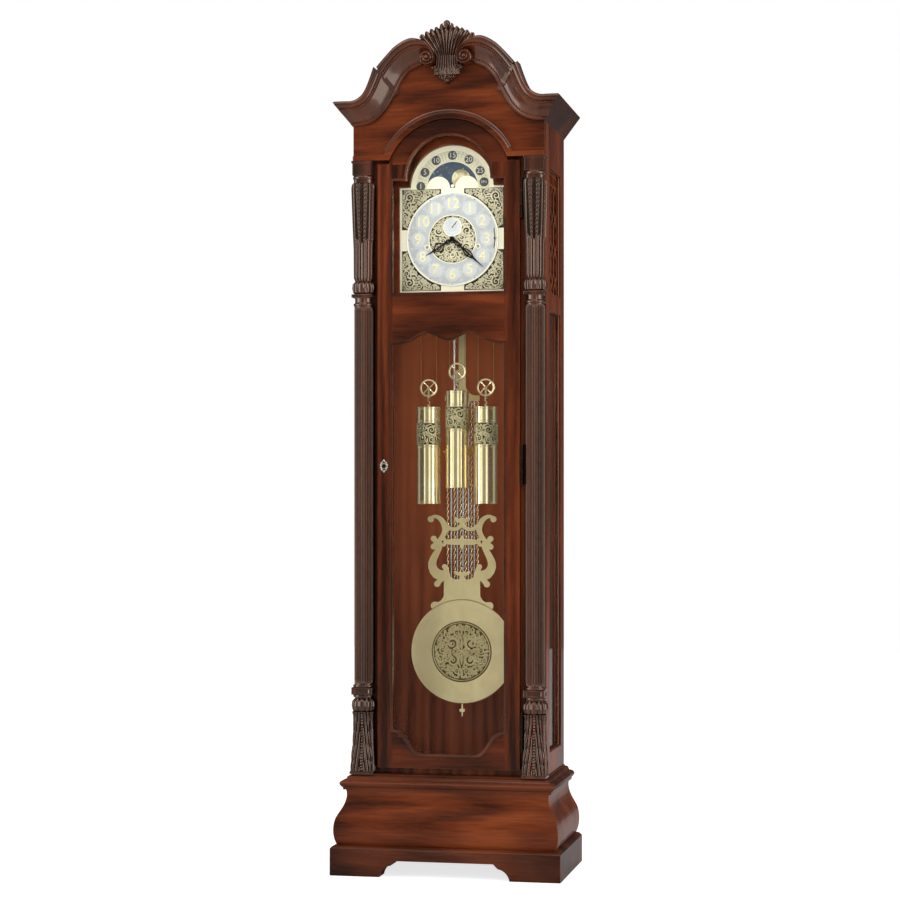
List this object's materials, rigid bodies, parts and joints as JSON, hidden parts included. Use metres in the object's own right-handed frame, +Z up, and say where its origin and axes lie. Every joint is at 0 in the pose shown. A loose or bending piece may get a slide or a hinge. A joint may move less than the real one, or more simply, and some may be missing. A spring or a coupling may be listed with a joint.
{
  "type": "grandfather clock",
  "caption": "Tall longcase clock: bombe base, fluted columns, glazed arched door, moon dial, three weights and a lyre pendulum under a swan-neck crown with a carved shell.",
  "frame": {"origin": "middle of the footprint on the floor", "axes": "+Z up, +X to the right as seen from the front, the front faces -Y"},
  "size_m": [0.61, 0.376, 2.23],
  "materials": {
    "cherry": "gloss lacquer over reddish-brown stain",
    "carving": "dark glazed carving",
    "window_glass": "clear",
    "cloth": "dark woven speaker cloth",
    "hinge_brass": "antique",
    "dial_brass": "satin",
    "dial_silver": "silvered satin",
    "antique_brass": "antiqued relief",
    "lock_silver": "aged silver",
    "steel": "brushed",
    "moon_paint": "painted night sky",
    "hand_metal": "dark bronzed",
    "polished_brass": "polished",
    "satin_brass": "satin brushed",
    "cable_brass": "stranded"
  },
  "bodies": {
    "case": {"plinth": "cherry", "bombe_base": "cherry", "base_moulding": "cherry", "back_boards": "cherry", "trunk_floor": "cherry", "left_side_frame": "cherry", "right_side_frame": "cherry", "side_glass": "window_glass", "fret_panels": "cherry", "grille_cloth": "cloth", "face_frame": "cherry", "columns": "cherry", "lower_capitals": "carving", "upper_capitals": "carving", "pediment_board": "cherry", "hood_moulding": "cherry", "crown_moulding": "cherry", "shell_carving": "carving", "hood_roof": "cherry", "seatboard": "cherry", "hinge_case_leaves": "hinge_brass", "dial_mask": "cherry", "dial_plate": "dial_brass", "dial_rings": "dial_silver", "spandrels": "antique_brass", "movement_plates": "dial_brass", "chime_rods": "steel", "cable_left": "cable_brass", "cable_centre": "cable_brass", "cable_right": "cable_brass"},
    "door": {"door_frame": "cherry", "door_glass": "window_glass", "door_beads": "cherry", "hinge_door_leaves": "hinge_brass", "lock_escutcheon": "lock_silver"},
    "lock_plug": {"lock_plug": "lock_silver"},
    "moon_disc": {"moon_disc": "moon_paint"},
    "chime_selector": {"chime_selector": "hand_metal"},
    "minute_train": {"minute_hand": "hand_metal", "centre_wheel": "dial_brass"},
    "hour_hand": {"hour_hand": "hand_metal"},
    "escape_train": {"escape_wheel": "dial_brass", "second_hand": "hand_metal"},
    "third_wheel": {"third_wheel": "dial_brass"},
    "anchor": {"anchor": "steel"},
    "chime_hammers": {"chime_hammers": "steel"},
    "drum_left": {"drum_left": "dial_brass"},
    "drum_centre": {"drum_centre": "dial_brass"},
    "drum_right": {"drum_right": "dial_brass"},
    "weight_left": {"weight_left": "polished_brass"},
    "weight_centre": {"weight_centre": "polished_brass"},
    "weight_right": {"weight_right": "polished_brass"},
    "pulley_left": {"pulley_left": "polished_brass"},
    "pulley_centre": {"pulley_centre": "polished_brass"},
    "pulley_right": {"pulley_right": "polished_brass"},
    "pendulum": {"pendulum_leader": "satin_brass", "pendulum_rods": "steel", "pendulum_lyre": "satin_brass", "pendulum_bob": "satin_brass", "rating_nut": "satin_brass"}
  },
  "joints": [
    {"name": "door_swing", "type": "hinge", "parent": "case", "child": "door", "pos_m": [0.1955, -0.134, 1.07], "axis": [0, 0, 1], "range_deg": [0, 95]},
    {"name": "lock_turn", "type": "hinge", "parent": "door", "child": "lock_plug", "pos_m": [-0.172, -0.12, 1.07], "axis": [0, 1, 0], "range_deg": [0, 90]},
    {"name": "moon_turn", "type": "hinge", "parent": "case", "child": "moon_disc", "pos_m": [0, -0.073, 1.795], "axis": [0, 1, 0], "continuous": true},
    {"name": "selector_swing", "type": "hinge", "parent": "case", "child": "chime_selector", "pos_m": [0, -0.073, 1.668], "axis": [0, 1, 0], "range_deg": [-11, 11]},
    {"name": "minute_turn", "type": "hinge", "parent": "case", "child": "minute_train", "pos_m": [0, -0.06, 1.668], "axis": [0, 1, 0], "continuous": true},
    {"name": "hour_turn", "type": "hinge", "parent": "case", "child": "hour_hand", "pos_m": [0, -0.06, 1.668], "axis": [0, 1, 0], "continuous": true},
    {"name": "third_turn", "type": "hinge", "parent": "case", "child": "third_wheel", "pos_m": [0.0191, -0.02, 1.6874], "axis": [0, 1, 0], "continuous": true},
    {"name": "escape_turn", "type": "hinge", "parent": "case", "child": "escape_train", "pos_m": [0, -0.02, 1.7], "axis": [0, 1, 0], "continuous": true},
    {"name": "pendulum_swing", "type": "hinge", "parent": "case", "child": "pendulum", "pos_m": [0, 0.052, 1.728], "axis": [0, 1, 0], "range_deg": [-3, 3]},
    {"name": "anchor_rock", "type": "hinge", "parent": "case", "child": "anchor", "pos_m": [0, 0, 1.728], "axis": [0, 1, 0], "range_deg": [-3.2, 3.2]},
    {"name": "hammer_lift", "type": "hinge", "parent": "case", "child": "chime_hammers", "pos_m": [-0.06, 0.055, 1.61], "axis": [1, 0, 0], "range_deg": [0, 12]},
    {"name": "weight_left_drop", "type": "slide", "parent": "case", "child": "weight_left", "axis": [0, 0, 1], "range_m": [-0.65, 0.19], "deforming": ["cable_left"]},
    {"name": "drum_left_turn", "type": "hinge", "parent": "case", "child": "drum_left", "pos_m": [-0.0684, -0.015, 1.648], "axis": [0, 1, 0], "range_deg": [-2487.8, 730.7]},
    {"name": "pulley_left_turn", "type": "hinge", "parent": "weight_left", "child": "pulley_left", "pos_m": [-0.0774, -0.015, 1.28], "axis": [0, 1, 0], "range_deg": [-1778.4, 523.4]},
    {"name": "weight_centre_drop", "type": "slide", "parent": "case", "child": "weight_centre", "axis": [0, 0, 1], "range_m": [-0.65, 0.19], "deforming": ["cable_centre"]},
    {"name": "drum_centre_turn", "type": "hinge", "parent": "case", "child": "drum_centre", "pos_m": [0, -0.015, 1.6266], "axis": [0, 1, 0], "range_deg": [-3551.9, 1041.8]},
    {"name": "pulley_centre_turn", "type": "hinge", "parent": "weight_centre", "child": "pulley_centre", "pos_m": [0, -0.015, 1.3225], "axis": [0, 1, 0], "range_deg": [-1778.4, 523.4]},
    {"name": "weight_right_drop", "type": "slide", "parent": "case", "child": "weight_right", "axis": [0, 0, 1], "range_m": [-0.65, 0.19], "deforming": ["cable_right"]},
    {"name": "drum_right_turn", "type": "hinge", "parent": "case", "child": "drum_right", "pos_m": [0.0684, -0.015, 1.648], "axis": [0, 1, 0], "range_deg": [-730.7, 2487.8]},
    {"name": "pulley_right_turn", "type": "hinge", "parent": "weight_right", "child": "pulley_right", "pos_m": [0.0774, -0.015, 1.28], "axis": [0, 1, 0], "range_deg": [-523.4, 1778.4]}
  ],
  "couplings": [
    {"joint": "hour_turn", "follows": "minute_turn", "ratio": 0.083333},
    {"joint": "third_turn", "follows": "minute_turn", "ratio": -8},
    {"joint": "escape_turn", "follows": "minute_turn", "ratio": 60},
    {"joint": "anchor_rock", "follows": "pendulum_swing", "ratio": 1},
    {"joint": "drum_left_turn", "follows": "weight_left_drop", "rad_per_m": 66.667},
    {"joint": "pulley_left_turn", "follows": "weight_left_drop", "rad_per_m": 47.619},
    {"joint": "drum_centre_turn", "follows": "weight_centre_drop", "rad_per_m": 95.238},
    {"joint": "pulley_centre_turn", "follows": "weight_centre_drop", "rad_per_m": 47.619},
    {"joint": "drum_right_turn", "follows": "weight_right_drop", "rad_per_m": -66.667},
    {"joint": "pulley_right_turn", "follows": "weight_right_drop", "rad_per_m": -47.619}
  ]
}
